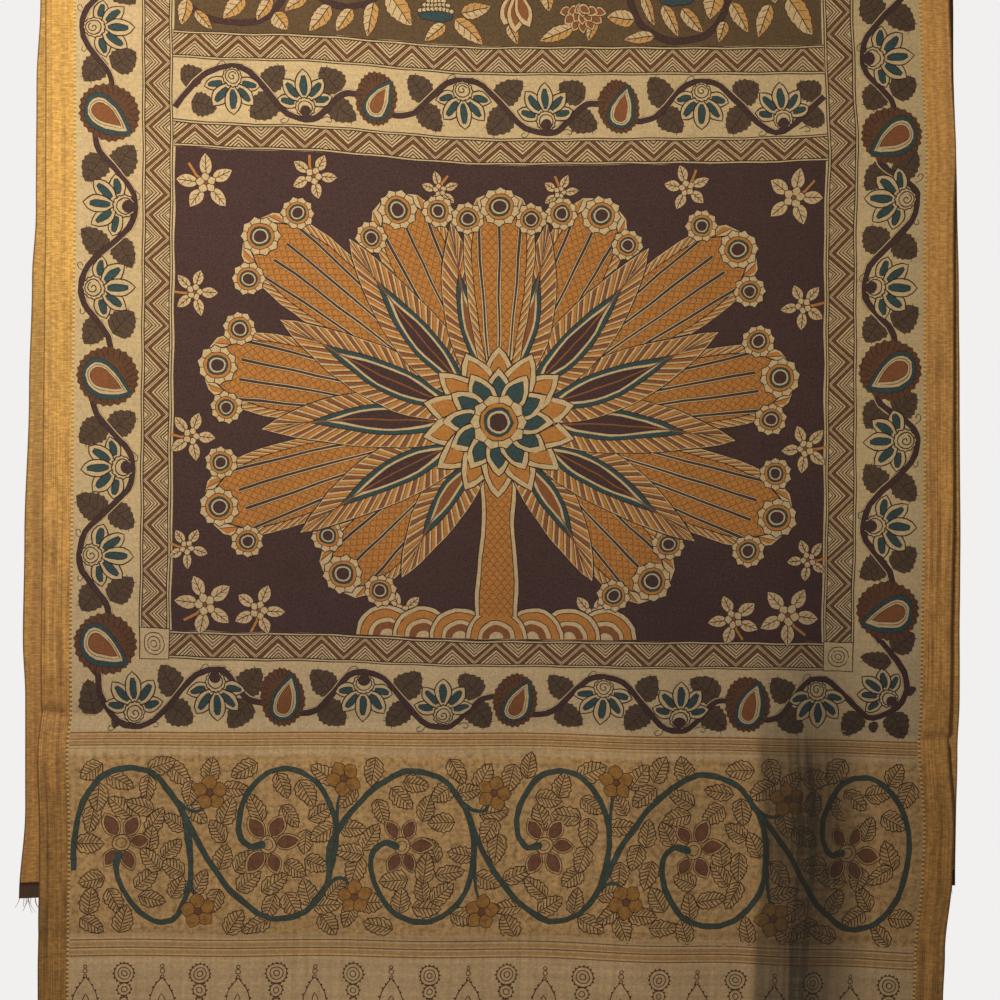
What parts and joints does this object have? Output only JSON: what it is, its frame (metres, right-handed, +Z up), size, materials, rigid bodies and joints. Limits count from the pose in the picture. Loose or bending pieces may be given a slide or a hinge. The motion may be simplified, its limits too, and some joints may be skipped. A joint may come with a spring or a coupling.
{
  "type": "hung kalamkari cloth panel",
  "caption": "Long cotton panel with pen-drawn floral bands and woven gold side borders, folded over at its top to hang from a bar, its shorter back fall showing at both sides.",
  "frame": {"origin": "middle of the top of the fold, where the cloth hangs over its bar", "axes": "+Z up along the fall of the cloth, +Y from the front fall to the back fall, +X to the viewer's right"},
  "size_m": [1.1899, 0.0369, 1.517],
  "materials": {
    "dyed_cotton": "plain-woven cotton, matt, dyed in ochre, aubergine, teal and rust with dark pen lines; metallic gold weft in the side borders"
  },
  "bodies": {
    "root": {"cloth": "dyed_cotton"}
  },
  "joints": []
}
